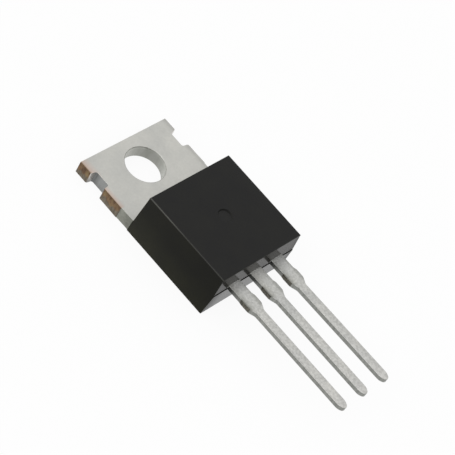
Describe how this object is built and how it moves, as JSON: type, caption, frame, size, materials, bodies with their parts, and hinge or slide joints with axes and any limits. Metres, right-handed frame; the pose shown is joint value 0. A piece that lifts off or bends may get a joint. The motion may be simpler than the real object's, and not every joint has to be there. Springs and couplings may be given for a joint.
{
  "type": "triac",
  "caption": "Through-hole triac: black moulded epoxy body on a plated copper tab with a mounting hole and side notches, and straight flat leads in one row.",
  "frame": {"origin": "centre of the mounting hole, on the flat back face of the tab", "axes": "+Z out of the front face along the mounting hole; +Y towards the end of the tab, with the leads running towards -Y; +X to the gate lead's side"},
  "size_m": [0.01, 0.0291, 0.0045],
  "materials": {
    "epoxy": "fine eroded moulding compound, slightly glossy at its edges",
    "tinned_copper": "matt tin plating over copper, bare where sheared",
    "silicon": "polished silicon with a metallised top",
    "solder": "soft solder",
    "aluminium_wire": "drawn wire"
  },
  "bodies": {
    "root": {"molded_body": "epoxy", "heatsink_tab": "tinned_copper", "lead_mt1": "tinned_copper", "lead_gate": "tinned_copper", "triac_die": "silicon", "die_solder": "solder", "bond_wire_outer": "aluminium_wire", "bond_wire_inner": "aluminium_wire", "bond_wire_gate": "aluminium_wire"}
  },
  "joints": []
}
